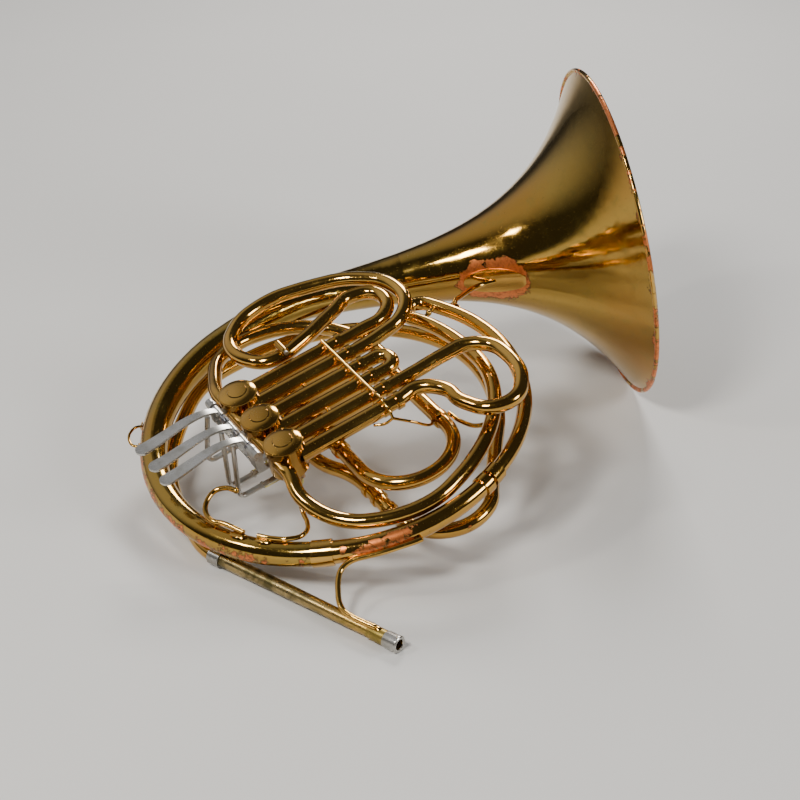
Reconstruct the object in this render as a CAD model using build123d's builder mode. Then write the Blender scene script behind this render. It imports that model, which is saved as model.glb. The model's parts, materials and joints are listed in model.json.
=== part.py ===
"""French horn, a single horn in F with three string-action rotary valves.

The horn is modelled in its own coil frame (millimetres): origin at the centre of the coil,
+X along the valve slides, +Y along the row of rotors, +Z out of the coil on the valve side.
Each finished piece is then laid on the table with lay_down(): the horn rests on the edge of
its bell, on the mouthpiece receiver and on the mouthpipe.  On the table +Z is up and the origin is
the middle of the footprint.
"""
import os
from math import cos, exp, hypot, radians, sin, sqrt

from build123d import *

os.makedirs("parts", exist_ok=True)

# ---------------------------------------------------------------- driving dimensions
# The way the horn lies on the table: two axes of the coil frame seen from the table.
SLIDE_AXIS_ON_TABLE = (0.8276, 0.4744, 0.3002)
COIL_NORMAL_ON_TABLE = (-0.1968, -0.2557, 0.9465)

# Tubing
BORE_R = 5.8
TUBE_R = 6.4
SLIDE_CLEARANCE = 0.05
SLEEVE_R_IN = TUBE_R + SLIDE_CLEARANCE
SLEEVE_R = 7.05
BAND_R = 7.9
BAND_LENGTH = 6.0
STRAIGHT = 1e-6

# Bell: radius falls off behind the rim as the sum of a flare, a throat and a pipe
RIM_CENTRE = (344.7, 81.9, -40.0)
BELL_AXIS = Vector(0.9395, -0.3372, -0.0597).normalized()
BELL_FLARE_R = 133.0
BELL_FLARE_LENGTH = 70.0
BELL_THROAT_R = 14.5
BELL_THROAT_LENGTH = 450.0
BELL_PIPE_R = 7.5
BELL_WALL = 0.7
RIM_BEAD_R = 2.2
STRAIGHT_BELL = 200.0
TAIL_COIL_R = 159.0
TAIL_END_ANGLE = 237.0
BRANCH_START_R = 9.9
BRANCH_END_R = 7.4
BRANCH_END_ANGLE = 289.0
BRANCH_END_COIL_R = 163.5
BRANCH_WALL = 0.7
PROFILE_STEPS = 16
TAIL_STEPS = 30
BRANCH_STEPS = 8

# Valves
VALVE_X = -63.5
VALVE_PITCH = 40.0
VALVE_ROW_Y = 3.9
VALVE_Z = 24.0
CASING_R = 16.5
ROTOR_R = 14.5
ROTOR_CLEARANCE = 0.05
CASING_BOTTOM = 9.0
CASING_TOP = 36.0
FLOOR_THICKNESS = 2.5
ROTOR_END_GAP = 0.3
SPINDLE_END = -1.5
BEARING_THICKNESS = 3.0
SPINDLE_R = 3.0
PORT_OFFSET = 10.0
PASSAGE_R = BORE_R - 0.6
PASSAGE_BEND_R = PORT_OFFSET * 1.38
SLEEVE_END_X = 30.0

# Levers
HINGE_X = -90.0
HINGE_Z = 44.0
HINGE_ROD_R = 1.5
HINGE_TUBE_R = 3.0
KEY_LENGTH = 77.0
KEY_WIDTH = 13.0
KEY_NECK = 6.0
KEY_THICKNESS = 2.0
KEY_Y = (26.0, 0.5, -20.0)
ARM_SIDE = (-1, -1, 1)
ARM_Z = -6.0
HUB_R = 6.6
STRING_R = 0.6

VALVE_Y = [VALVE_ROW_Y + VALVE_PITCH * (1 - i) for i in range(3)]


# ---------------------------------------------------------------- helpers
def polar(angle, radius, z=0.0):
    """A point of the coil: degrees about its centre, radius and height."""
    return (radius * cos(radians(angle)), radius * sin(radians(angle)), z)


def cross_section(path, u):
    """The plane across a path at the fraction u of its length."""
    return Plane(path @ u, x_dir=(0.03, 0.05, 1), z_dir=path % u)


def arc_or_line(start, direction, end):
    """The arc that leaves start in a direction and reaches end, or a line if it is straight."""
    if direction.cross((end - start).normalized()).length < STRAIGHT:
        return Line(start, end)
    return TangentArc(start, end, tangent=direction)


def chain(*points, start=None, end=None):
    """A smooth wire through points, two arcs to a span, with its end directions if they matter."""
    knots = [Vector(*point) for point in points]
    spans = [far - near for near, far in zip(knots, knots[1:])]
    leans = [Vector(*start).normalized() if start else spans[0].normalized()]
    for before, after in zip(spans, spans[1:]):
        leans.append((before.normalized() * after.length + after.normalized() * before.length).normalized())
    leans.append(Vector(*end).normalized() if end else spans[-1].normalized())
    with BuildLine() as line:
        for near, far, out, into in zip(knots, knots[1:], leans, leans[1:]):
            span = far - near
            bend = 2 * (1 - out.dot(into))
            lean = span.dot(out + into)
            if bend < STRAIGHT:
                reach = span.dot(span) / (2 * lean)
            else:
                reach = (sqrt(lean**2 + bend * span.dot(span)) - lean) / bend
            middle = (near + far + (out - into) * reach) / 2
            turn = (span - (out + into) * reach).normalized()
            arc_or_line(near, out, middle)
            arc_or_line(middle, turn, far)
    return line.wire()


def pipe(path, outer=TUBE_R, inner=BORE_R):
    """A round tube of one size along a path."""
    with BuildPart() as tube:
        with BuildSketch(cross_section(path, 0)):
            Circle(outer)
            Circle(inner, mode=Mode.SUBTRACT)
        sweep(path=path)
    return tube


def rod(path, radius):
    """A solid round rod along a path."""
    with BuildPart() as solid_rod:
        with BuildSketch(cross_section(path, 0)):
            Circle(radius)
        sweep(path=path)
    return solid_rod


def cone(path, radius_at, steps):
    """A round solid bar along a path, with the radius radius_at(u) at the fraction u."""
    with BuildPart() as bar:
        for i in range(steps + 1):
            with BuildSketch(cross_section(path, i / steps)):
                Circle(radius_at(i / steps))
        loft()
    return bar


def hollow(outer, inner):
    """The solid between two filled bars of the same course: a tube with flat ends."""
    sides = outer.faces().filter_by(GeomType.PLANE, reverse=True)
    bore = inner.faces().filter_by(GeomType.PLANE, reverse=True)
    ends = []
    for cap in outer.faces().filter_by(GeomType.PLANE):
        core = inner.faces().filter_by(GeomType.PLANE).sort_by_distance(cap.center())[0]
        ends.append(Face(cap.outer_wire(), [core.outer_wire()]))
    return Solid(Shell(sides + bore + ends))


def taper(path, radius_at, wall, steps):
    """A tube whose outside radius is radius_at(u) at the fraction u of its path."""
    outer = cone(path, radius_at, steps)
    inner = cone(path, lambda u: radius_at(u) - wall, steps)
    with BuildPart() as tube:
        add(hollow(outer.part, inner.part))
    return tube


def gather(*builders):
    """Several solids of one piece group, side by side."""
    with BuildPart() as group:
        for builder in builders:
            add(builder.part)
    return group


FINISHED = []


def finish(builder, label):
    """Name a finished piece and keep it for the table."""
    builder.part.label = label
    FINISHED.append(builder.part)
    return builder


# ---------------------------------------------------------------- bell and branches
def bell_radius(back):
    """Outside radius of the bell at a distance back from the rim, along its centre line."""
    flare = BELL_FLARE_R * exp(-back / BELL_FLARE_LENGTH)
    throat = BELL_THROAT_R * exp(-back / BELL_THROAT_LENGTH)
    return BELL_PIPE_R + flare + throat


def bell_slope(back):
    """How fast the radius grows towards the rim."""
    flare = BELL_FLARE_R / BELL_FLARE_LENGTH * exp(-back / BELL_FLARE_LENGTH)
    throat = BELL_THROAT_R / BELL_THROAT_LENGTH * exp(-back / BELL_THROAT_LENGTH)
    return flare + throat


def bell_skin(back, depth):
    """A point of the bell's profile, depth below its outside, as (radius, along the axis)."""
    slope = bell_slope(back)
    length = hypot(1.0, slope)
    return (bell_radius(back) - depth / length, -back + depth * slope / length)


RIM = Vector(*RIM_CENTRE)
BELL_ACROSS = BELL_AXIS.cross(Vector(0, 0, 1)).normalized()
BELL_PROFILE_PLANE = Plane(RIM, x_dir=BELL_ACROSS, z_dir=BELL_ACROSS.cross(BELL_AXIS))
BELL_THROAT_END = RIM - BELL_AXIS * STRAIGHT_BELL

tail_path = chain(
    BELL_THROAT_END,
    *[polar(a, TAIL_COIL_R) for a in range(90, int(TAIL_END_ANGLE), 21)],
    polar(TAIL_END_ANGLE, TAIL_COIL_R),
    start=-BELL_AXIS,
    end=polar(TAIL_END_ANGLE + 90, 1),
)
TAIL_LENGTH = tail_path.length


def tail_radius(u):
    return bell_radius(STRAIGHT_BELL + u * TAIL_LENGTH)


def make_bell():
    """The flare is turned about the bell's axis; the tail is lofted along its curve."""
    stations = [STRAIGHT_BELL * (i / PROFILE_STEPS) ** 1.5 for i in range(PROFILE_STEPS + 1)]
    with BuildPart() as bell:
        with BuildSketch(BELL_PROFILE_PLANE):
            with BuildLine():
                outside = Spline(*[bell_skin(back, 0.0) for back in stations])
                inside = Spline(*[bell_skin(back, BELL_WALL) for back in stations])
                Line(outside @ 0, inside @ 0)
                Line(outside @ 1, inside @ 1)
            make_face()
        revolve(axis=Axis(RIM, BELL_AXIS))
    tail = taper(tail_path, tail_radius, BELL_WALL, TAIL_STEPS)
    return gather(bell, tail)


bell = finish(make_bell(), "bell")

with BuildPart() as rim_bead:
    with BuildSketch(BELL_PROFILE_PLANE):
        with Locations((bell_radius(0), 0)):
            Circle(RIM_BEAD_R)
    revolve(axis=Axis(RIM, BELL_AXIS))
    add(bell.part, mode=Mode.SUBTRACT)
finish(rim_bead, "rim_bead")

branch_path = ThreePointArc(
    polar(TAIL_END_ANGLE + 0.1, TAIL_COIL_R),
    polar((TAIL_END_ANGLE + BRANCH_END_ANGLE) / 2, (TAIL_COIL_R + BRANCH_END_COIL_R) / 2 + 0.6),
    polar(BRANCH_END_ANGLE, BRANCH_END_COIL_R),
)


def branch_radius(u):
    return BRANCH_START_R + (BRANCH_END_R - BRANCH_START_R) * u**0.7


finish(taper(branch_path, branch_radius, BRANCH_WALL, BRANCH_STEPS), "first_branch")


# ---------------------------------------------------------------- rings of the coil
RING_TOP_ANGLE = 26.0
RING_TOP_MIDDLE_R = 141.5
RING_TOP_HALF_GAP = 13.0


def ring_top(offset, z, rise=0.0):
    """A point beside the return bow at the top of the two rings."""
    out = Vector(*polar(RING_TOP_ANGLE, RING_TOP_MIDDLE_R + offset, z))
    return out + Vector(*polar(RING_TOP_ANGLE + 90, rise))


ring_top_direction = Vector(*polar(RING_TOP_ANGLE + 90, 1))

outer_ring_path = chain(
    polar(BRANCH_END_ANGLE + 0.1 - 360, BRANCH_END_COIL_R),
    polar(-45, 164),
    polar(-20, 161),
    polar(5, 158),
    ring_top(RING_TOP_HALF_GAP, 1),
    start=branch_path % 1,
    end=ring_top_direction,
)
finish(pipe(outer_ring_path), "outer_ring")

return_bow_path = ThreePointArc(
    ring_top(RING_TOP_HALF_GAP, 1),
    ring_top(0, 3, RING_TOP_HALF_GAP),
    ring_top(-RING_TOP_HALF_GAP, 5),
)
finish(pipe(return_bow_path), "return_bow")

OUTLET_X = VALVE_X - PORT_OFFSET
CASING_PORT_Y = sqrt(CASING_R**2 - PORT_OFFSET**2)
KNUCKLE_STUB = 5.0

inner_ring_path = chain(
    (OUTLET_X, VALVE_Y[2] - CASING_PORT_Y - KNUCKLE_STUB, VALVE_Z),
    (-77, -86, 17),
    polar(-115, 138, 10),
    polar(-104, 145, 8.5),
    polar(-89, 149.5, 7.8),
    polar(-71, 145, 7.5),
    polar(-52, 141, 7),
    polar(-37, 138.5, 6),
    polar(-21, 135.5, 5),
    polar(-2, 130, 5),
    ring_top(-RING_TOP_HALF_GAP, 5),
    start=(0, -1, 0),
    end=ring_top_direction,
)
finish(pipe(inner_ring_path), "inner_ring")

# rings over the joints of the branches: angles, middle of the coil there, radii
FERRULES = (
    (TAIL_END_ANGLE - 4.0, TAIL_END_ANGLE + 2.0, TAIL_COIL_R, tail_radius(1.0) + 1.0, tail_radius(1.0) + 0.1),
    (BRANCH_END_ANGLE - 2.5, BRANCH_END_ANGLE + 0.5, BRANCH_END_COIL_R, 9.0, BRANCH_END_R + 0.3),
    (BRANCH_END_ANGLE + 1.5, BRANCH_END_ANGLE + 5.5, BRANCH_END_COIL_R, 8.6, TUBE_R + 0.3),
)

with BuildPart() as branch_ferrules:
    for start, end, coil_r, outside, inside in FERRULES:
        ring = ThreePointArc(*[polar(a, coil_r) for a in (start, (start + end) / 2, end)])
        with BuildSketch(cross_section(ring, 0)):
            Circle(outside)
            Circle(inside, mode=Mode.SUBTRACT)
        sweep(path=ring)
finish(branch_ferrules, "branch_ferrules")


# ---------------------------------------------------------------- mouthpipe
RECEIVER_END = Vector(-85.5, -236.0, -20.0)
PIPE_JOINT = Vector(-152.2, -58.0, -20.0)
RECEIVER_R = 6.7
RECEIVER_BORE_R = 4.2
RECEIVER_LENGTH = 30.0
MOUTHPIPE_TIP_R = 5.2
MOUTHPIPE_WALL = 0.8
MOUTHPIPE_START = 22.0
FERRULE_LENGTH = 12.0
RING_GAP = 0.1
LEAD_BAND_R = 7.7

mouthpipe_direction = (PIPE_JOINT - RECEIVER_END).normalized()
mouthpipe_line = Line(RECEIVER_END + mouthpipe_direction * MOUTHPIPE_START, PIPE_JOINT)


def mouthpipe_radius(u):
    return MOUTHPIPE_TIP_R + u * (TUBE_R - MOUTHPIPE_TIP_R)


mouthpipe = finish(taper(mouthpipe_line, mouthpipe_radius, MOUTHPIPE_WALL, 2), "mouthpipe")

with BuildPart() as receiver:
    with BuildSketch(Plane(RECEIVER_END, z_dir=mouthpipe_direction)):
        Circle(RECEIVER_R)
        Circle(RECEIVER_BORE_R, mode=Mode.SUBTRACT)
    extrude(amount=RECEIVER_LENGTH)
    add(rod(mouthpipe_line, MOUTHPIPE_TIP_R).part, mode=Mode.SUBTRACT)
    chamfer(receiver.edges().sort_by_distance(RECEIVER_END)[:2], 0.5)
    add(mouthpipe.part, mode=Mode.SUBTRACT)
finish(receiver, "receiver")

lead_ring_path = chain(
    PIPE_JOINT,
    polar(180, 153, -21),
    polar(158, 150, -21),
    polar(133, 149, -21),
    polar(115, 154, -22),
    polar(90, 153, -29),
    polar(65, 151, -32),
    polar(45, 147, -31),
    polar(10, 141, -28),
    polar(-25, 137, -28),
    polar(-50, 138, -32),
    (70, -129, -35),
    (56, -146, -35),
    (36, -153, -35),
    (13, -148, -34),
    (-5, -131, -32),
    (-12, -108, -30),
    (-13, -88, -28),
    start=mouthpipe_direction,
    end=(0, 1, 0),
)
finish(pipe(lead_ring_path), "lead_ring")

with BuildPart() as mouthpipe_ferrule:
    with BuildSketch(Plane(PIPE_JOINT - mouthpipe_direction * FERRULE_LENGTH / 2, z_dir=mouthpipe_direction)):
        Circle(LEAD_BAND_R)
        Circle(TUBE_R + RING_GAP, mode=Mode.SUBTRACT)
    extrude(amount=FERRULE_LENGTH)
finish(mouthpipe_ferrule, "mouthpipe_ferrule")


# ---------------------------------------------------------------- main tuning slide
TUNING_LEFT_X = -14.0
TUNING_RIGHT_X = 70.0
TUNING_Z = -9.0
TUNING_LEG_Y = -65.0
TUNING_LEFT_TOP = 2.0
TUNING_LEFT_MOUTH = -33.0
TUNING_RIGHT_TOP = 8.0
TUNING_RIGHT_MOUTH = -60.0
LEAD_RISER_TOP = Vector(-30.0, 2.0, -28.0)
TUNING_BOW_R = (TUNING_RIGHT_X - TUNING_LEFT_X) / 2
TUNING_MIDDLE_X = (TUNING_RIGHT_X + TUNING_LEFT_X) / 2


def sleeve(start, end):
    """An outer slide tube whose open end, at end, carries a turned band."""
    start = Vector(*start)
    end = Vector(*end)
    along = (end - start).normalized()
    with BuildPart() as tube:
        with BuildSketch(Plane(start, z_dir=along)):
            Circle(SLEEVE_R)
            Circle(SLEEVE_R_IN, mode=Mode.SUBTRACT)
        extrude(amount=(end - start).length)
        with BuildSketch(Plane(end - along * BAND_LENGTH, z_dir=along)):
            Circle(BAND_R)
            Circle(SLEEVE_R_IN, mode=Mode.SUBTRACT)
        extrude(amount=BAND_LENGTH)
    return tube


tuning_sleeves = gather(
    sleeve((TUNING_LEFT_X, TUNING_LEFT_TOP, TUNING_Z), (TUNING_LEFT_X, TUNING_LEFT_MOUTH, TUNING_Z)),
    sleeve((TUNING_RIGHT_X, TUNING_RIGHT_TOP, TUNING_Z), (TUNING_RIGHT_X, TUNING_RIGHT_MOUTH, TUNING_Z)),
)
finish(tuning_sleeves, "tuning_sleeves")

tuning_left_foot = (TUNING_LEFT_X, TUNING_LEG_Y, TUNING_Z)
tuning_right_foot = (TUNING_RIGHT_X, TUNING_LEG_Y, TUNING_Z)
tuning_bow_foot = (TUNING_MIDDLE_X, TUNING_LEG_Y - TUNING_BOW_R, TUNING_Z)
with BuildLine() as tuning_line:
    Line((TUNING_LEFT_X, TUNING_LEFT_TOP - 2, TUNING_Z), tuning_left_foot)
    ThreePointArc(tuning_left_foot, tuning_bow_foot, tuning_right_foot)
    Line(tuning_right_foot, (TUNING_RIGHT_X, TUNING_RIGHT_TOP - 2, TUNING_Z))
tuning_crook = pipe(tuning_line.wire())
finish(tuning_crook, "tuning_crook")

lead_riser_path = chain(lead_ring_path @ 1, (-14, -60, -27), LEAD_RISER_TOP, start=(0, 1, 0), end=(0, 1, 0))
finish(pipe(lead_riser_path), "lead_riser")

BAND_SPAN = 4.0


def lead_band(path, along):
    """A ring on a tube, at a distance along its path."""
    with BuildPart() as ring:
        with BuildSketch(cross_section(path, along / path.length)):
            Circle(LEAD_BAND_R)
            Circle(TUBE_R + RING_GAP, mode=Mode.SUBTRACT)
        extrude(amount=BAND_SPAN / 2, both=True)
    return ring


lead_bands = gather(
    lead_band(lead_ring_path, lead_ring_path.length - 12.0),
    lead_band(lead_riser_path, 4.0),
    lead_band(lead_riser_path, 18.0),
)
finish(lead_bands, "lead_bands")

tuning_top = Vector(TUNING_LEFT_X, TUNING_LEFT_TOP, TUNING_Z)
turn_middle = (LEAD_RISER_TOP + tuning_top) / 2
turn_r = (LEAD_RISER_TOP - tuning_top).length / 2
return_bend_path = ThreePointArc(LEAD_RISER_TOP, turn_middle + Vector(0, turn_r, 0), tuning_top)
finish(pipe(return_bend_path), "return_bend")

valve_inlet_path = chain(
    (TUNING_RIGHT_X, TUNING_RIGHT_TOP, TUNING_Z),
    (76, 45, -9),
    (68, 88, -6),
    (42, 120, -1),
    (6, 134, 5),
    (-22, 134, 9),
    (-46, 122, 13),
    (-64, 95, 19),
    (OUTLET_X, VALVE_Y[0] + CASING_PORT_Y + KNUCKLE_STUB, VALVE_Z),
    start=(0, 1, 0),
    end=(0, -1, 0),
)
finish(pipe(valve_inlet_path), "valve_inlet")


# ---------------------------------------------------------------- rotary valves
CASING_SOLIDS = []
casings = []
for i, y in enumerate(VALVE_Y):
    with BuildPart(Plane((VALVE_X, y, CASING_BOTTOM))) as casing:
        Cylinder(CASING_R, CASING_TOP - CASING_BOTTOM, align=(Align.CENTER, Align.CENTER, Align.MIN))
        CASING_SOLIDS.append(casing.part)
    with BuildPart(Plane((VALVE_X, y, CASING_BOTTOM))) as hollow_casing:
        Cylinder(CASING_R, CASING_TOP - CASING_BOTTOM, align=(Align.CENTER, Align.CENTER, Align.MIN))
        with BuildSketch(Plane((VALVE_X, y, CASING_BOTTOM + FLOOR_THICKNESS))):
            Circle(ROTOR_R + ROTOR_CLEARANCE)
        extrude(amount=CASING_TOP, mode=Mode.SUBTRACT)
        with BuildSketch(Plane((VALVE_X, y, CASING_BOTTOM))):
            Circle(SPINDLE_R + ROTOR_CLEARANCE)
        extrude(amount=FLOOR_THICKNESS, mode=Mode.SUBTRACT)
        for side in (-1, 1):
            for end in (-1, 1):
                if side > 0:
                    mouth = Plane((VALVE_X, y + end * PORT_OFFSET, VALVE_Z), z_dir=(1, 0, 0))
                else:
                    mouth = Plane((VALVE_X - PORT_OFFSET, y, VALVE_Z), z_dir=(0, end, 0))
                with BuildSketch(mouth):
                    Circle(BORE_R)
                extrude(amount=CASING_R + 5, mode=Mode.SUBTRACT)
    casings.append(finish(hollow_casing, f"casing_{i + 1}"))

for i, y in enumerate(VALVE_Y):
    with BuildPart() as rotor:
        with BuildSketch(Plane((VALVE_X, y, CASING_BOTTOM + FLOOR_THICKNESS + ROTOR_END_GAP))):
            Circle(ROTOR_R)
        extrude(amount=CASING_TOP - BEARING_THICKNESS - CASING_BOTTOM - FLOOR_THICKNESS - 2 * ROTOR_END_GAP)
        for side in (-1, 1):
            with Locations((VALVE_X + side * PORT_OFFSET * 2, y, VALVE_Z)):
                Torus(PASSAGE_BEND_R, PASSAGE_R, mode=Mode.SUBTRACT)
        with BuildSketch(Plane((VALVE_X, y, SPINDLE_END))):
            Circle(SPINDLE_R)
        extrude(amount=CASING_BOTTOM + FLOOR_THICKNESS + 4)
        with BuildSketch(Plane((VALVE_X, y, CASING_TOP - BEARING_THICKNESS - 1.0))):
            Circle(SPINDLE_R)
        extrude(amount=BEARING_THICKNESS + 0.5)
    finish(rotor, f"rotor_{i + 1}")

with BuildPart() as bearing_plates:
    for y in VALVE_Y:
        with BuildSketch(Plane((VALVE_X, y, CASING_TOP - BEARING_THICKNESS))):
            Circle(ROTOR_R + ROTOR_CLEARANCE)
            Circle(SPINDLE_R + ROTOR_CLEARANCE, mode=Mode.SUBTRACT)
        extrude(amount=BEARING_THICKNESS)
finish(bearing_plates, "bearing_plates")

CAP_R = 17.1
CAP_LIP = 1.3
CAP_LIP_HEIGHT = 0.7
CAP_SKIRT = 4.9
CAP_CROWN = 4.2
CAP_WALL = 1.2
CAP_BOSS_R = 8.0
CAP_BOSS_FALL = 0.45
CAP_STEP = 0.75
with BuildPart() as valve_caps:
    for y in VALVE_Y:
        with BuildSketch(Plane((VALVE_X, y, 0), x_dir=(1, 0, 0), z_dir=(0, -1, 0))):
            with BuildLine():
                middle = Line((0, CASING_TOP + CAP_CROWN - CAP_WALL), (0, CASING_TOP + CAP_CROWN))
                boss = ThreePointArc(
                    middle @ 1,
                    (CAP_BOSS_R * 0.6, CASING_TOP + CAP_CROWN - CAP_BOSS_FALL * 0.36),
                    (CAP_BOSS_R, CASING_TOP + CAP_CROWN - CAP_BOSS_FALL),
                )
                dome_top = CASING_TOP + CAP_CROWN - CAP_BOSS_FALL - CAP_STEP
                step = Line(boss @ 1, (CAP_BOSS_R + CAP_STEP, dome_top))
                dome = ThreePointArc(
                    step @ 1,
                    (CAP_R * 0.74, CASING_TOP + CAP_CROWN * 0.56),
                    (CAP_R - CAP_LIP, CASING_TOP + CAP_LIP_HEIGHT + 0.5),
                )
                skirt = Polyline(
                    dome @ 1,
                    (CAP_R - CAP_LIP, CASING_TOP + CAP_LIP_HEIGHT),
                    (CAP_R - 0.3, CASING_TOP + CAP_LIP_HEIGHT),
                    (CAP_R, CASING_TOP + CAP_LIP_HEIGHT - 0.3),
                    (CAP_R, CASING_TOP - CAP_SKIRT),
                    (CASING_R, CASING_TOP - CAP_SKIRT),
                    (CASING_R, CASING_TOP),
                    (CASING_R - 1.5, CASING_TOP),
                )
                Line(skirt @ 1, middle @ 0)
            make_face()
        revolve(axis=Axis((VALVE_X, y, 0), (0, 0, 1)))
finish(valve_caps, "valve_caps")

with BuildPart() as valve_solids:
    for solid in CASING_SOLIDS:
        add(solid)


def trimmed(builder, *cutters):
    """A piece with its ends cut away where they meet other pieces."""
    with BuildPart() as piece:
        add(builder.part)
        for cutter in cutters:
            add(cutter.part, mode=Mode.SUBTRACT)
    return piece


KNUCKLE_REACH = 8.0
knuckle_spans = [
    (VALVE_Y[0] + KNUCKLE_REACH, VALVE_Y[0] + CASING_PORT_Y + KNUCKLE_STUB),
    (VALVE_Y[1] + KNUCKLE_REACH, VALVE_Y[0] - KNUCKLE_REACH),
    (VALVE_Y[2] + KNUCKLE_REACH, VALVE_Y[1] - KNUCKLE_REACH),
    (VALVE_Y[2] - CASING_PORT_Y - KNUCKLE_STUB, VALVE_Y[2] - KNUCKLE_REACH),
]
knuckle_tubes = gather(
    *[pipe(Line((OUTLET_X, near, VALVE_Z), (OUTLET_X, far, VALVE_Z))) for near, far in knuckle_spans]
)
finish(trimmed(knuckle_tubes, valve_solids), "knuckles")


# ---------------------------------------------------------------- valve slides
def leg_y(valve, side):
    return VALVE_Y[valve] + side * PORT_OFFSET


LEG_INSIDE_X = (-25.0, -5.0, -25.0)

for i in range(3):
    pair = gather(
        *[
            sleeve((VALVE_X + 8, leg_y(i, side), VALVE_Z), (SLEEVE_END_X, leg_y(i, side), VALVE_Z))
            for side in (1, -1)
        ]
    )
    finish(trimmed(pair, valve_solids), f"slide_sleeves_{i + 1}")


def crook(valve, points):
    """The course of an inner slide: two straight legs joined by a bend through points."""
    lower_out = Vector(SLEEVE_END_X + 6.0, leg_y(valve, -1), VALVE_Z)
    upper_out = Vector(SLEEVE_END_X + 6.0, leg_y(valve, 1), VALVE_Z)
    lower_in = Vector(LEG_INSIDE_X[valve], leg_y(valve, -1), VALVE_Z)
    upper_in = Vector(LEG_INSIDE_X[valve], leg_y(valve, 1), VALVE_Z)
    bend = chain(lower_out, *points, upper_out, start=(1, 0, 0), end=(-1, 0, 0))
    with BuildLine() as line:
        Line(lower_in, lower_out)
        add(bend)
        Line(upper_out, upper_in)
    return line.wire()


crook_1_bend = (
    (72, 35, 25),
    (97, 40, 27),
    (113, 57, 28),
    (115, 86, 28),
    (93, 117, 28),
    (58, 135, 28),
    (18, 144, 28),
    (-18, 134, 28),
    (-36, 112, 28),
    (-34, 87, 28),
    (-22, 72, 28),
    (-6, 69, 28),
    (14, 73.5, 28),
    (52, 88, 27),
    (80, 98, 26),
    (99, 89, 25),
    (101, 69, 24.5),
    (88, 56, 24),
    (62, 54, 24),
)
finish(pipe(crook(0, crook_1_bend)), "slide_crook_1")

SHORT_LEG_X = SLEEVE_END_X + 24.0
short_feet = [(SHORT_LEG_X, leg_y(1, side), VALVE_Z) for side in (-1, 1)]
with BuildLine() as short_line:
    Line((LEG_INSIDE_X[1], leg_y(1, -1), VALVE_Z), short_feet[0])
    ThreePointArc(short_feet[0], (SHORT_LEG_X + PORT_OFFSET, VALVE_Y[1], VALVE_Z), short_feet[1])
    Line(short_feet[1], (LEG_INSIDE_X[1], leg_y(1, 1), VALVE_Z))
short_crook = pipe(short_line.wire())
finish(short_crook, "slide_crook_2")

crook_3_bend = (
    (64, -45.5, 24),
    (77, -60, 24),
    (81, -86, 24),
    (94, -107, 24),
    (115, -111, 24),
    (133, -95, 24),
    (141, -66, 24),
    (137, -41, 24),
    (122, -27, 24),
    (100, -25, 24),
    (70, -26, 24),
)
finish(pipe(crook(2, crook_3_bend)), "slide_crook_3")

CROOK_BAND_X = 38.0
CROOK_BAND_LENGTH = 5.0
CROOK_BAND_GAP = 0.02
for i in range(3):
    bands = gather(
        *[
            pipe(
                Line(
                    (CROOK_BAND_X, leg_y(i, side), VALVE_Z),
                    (CROOK_BAND_X + CROOK_BAND_LENGTH, leg_y(i, side), VALVE_Z),
                ),
                outer=BAND_R,
                inner=TUBE_R + CROOK_BAND_GAP,
            )
            for side in (1, -1)
        ]
    )
    finish(bands, f"crook_bands_{i + 1}")


# ---------------------------------------------------------------- levers and string action
ROD_TOP_Y = 38.5
ROD_BOTTOM_Y = -45.0
ROD_KNOB_R = 4.0
ROD_KNOB_LENGTH = 6.0

with BuildPart() as hinge_rod:
    with BuildSketch(Plane((HINGE_X, ROD_BOTTOM_Y, HINGE_Z), z_dir=(0, 1, 0))):
        Circle(HINGE_ROD_R)
    extrude(amount=ROD_TOP_Y - ROD_BOTTOM_Y)
    with BuildSketch(Plane((HINGE_X, ROD_TOP_Y, HINGE_Z), z_dir=(0, 1, 0))):
        Circle(ROD_KNOB_R)
    extrude(amount=ROD_KNOB_LENGTH)
    fillet(hinge_rod.edges().sort_by(Axis.Y)[-1], ROD_KNOB_R * 0.8)
finish(hinge_rod, "hinge_rod")

POST_WIDTH = 7.0
POST_HEAD_R = 4.3
BRIDGE_THICKNESS = 3.0
BRIDGE_ARM_WIDTH = 5.0
POST_Y = (38.0, -32.0)
POST_LENGTH = (4.5, 13.0)
BRIDGE_Z = 29.0
with BuildPart() as lever_bridge:
    for y, length in zip(POST_Y, POST_LENGTH):
        with BuildSketch(Plane((HINGE_X, y, 0), x_dir=(1, 0, 0), z_dir=(0, -1, 0))):
            with Locations((0, HINGE_Z)):
                Circle(POST_HEAD_R)
            with Locations((0, (HINGE_Z + BRIDGE_Z) / 2)):
                Rectangle(POST_WIDTH, HINGE_Z - BRIDGE_Z)
            with Locations((0, HINGE_Z)):
                Circle(HINGE_ROD_R + 0.02, mode=Mode.SUBTRACT)
        extrude(amount=length)
    with BuildSketch(Plane.XY.offset(BRIDGE_Z - BRIDGE_THICKNESS / 2)):
        with Locations((HINGE_X + 1.0, (POST_Y[0] + POST_Y[1] - POST_LENGTH[1]) / 2)):
            Rectangle(POST_WIDTH, POST_Y[0] - POST_Y[1] + POST_LENGTH[1])
        for y in (VALVE_Y[0] - 3, VALVE_Y[1], VALVE_Y[2] + 3):
            with Locations((HINGE_X + 7, y)):
                Rectangle(14.0, BRIDGE_ARM_WIDTH)
    extrude(amount=BRIDGE_THICKNESS)
    add(valve_solids.part, mode=Mode.SUBTRACT)
finish(lever_bridge, "lever_bridge")

HINGE_TUBE_LENGTH = 13.0
BAR_BESIDE_STRING = 4.2
BAR_WIDTH = 5.4
BAR_THICKNESS = 3.4
BAR_CORNER = 1.5


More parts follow.
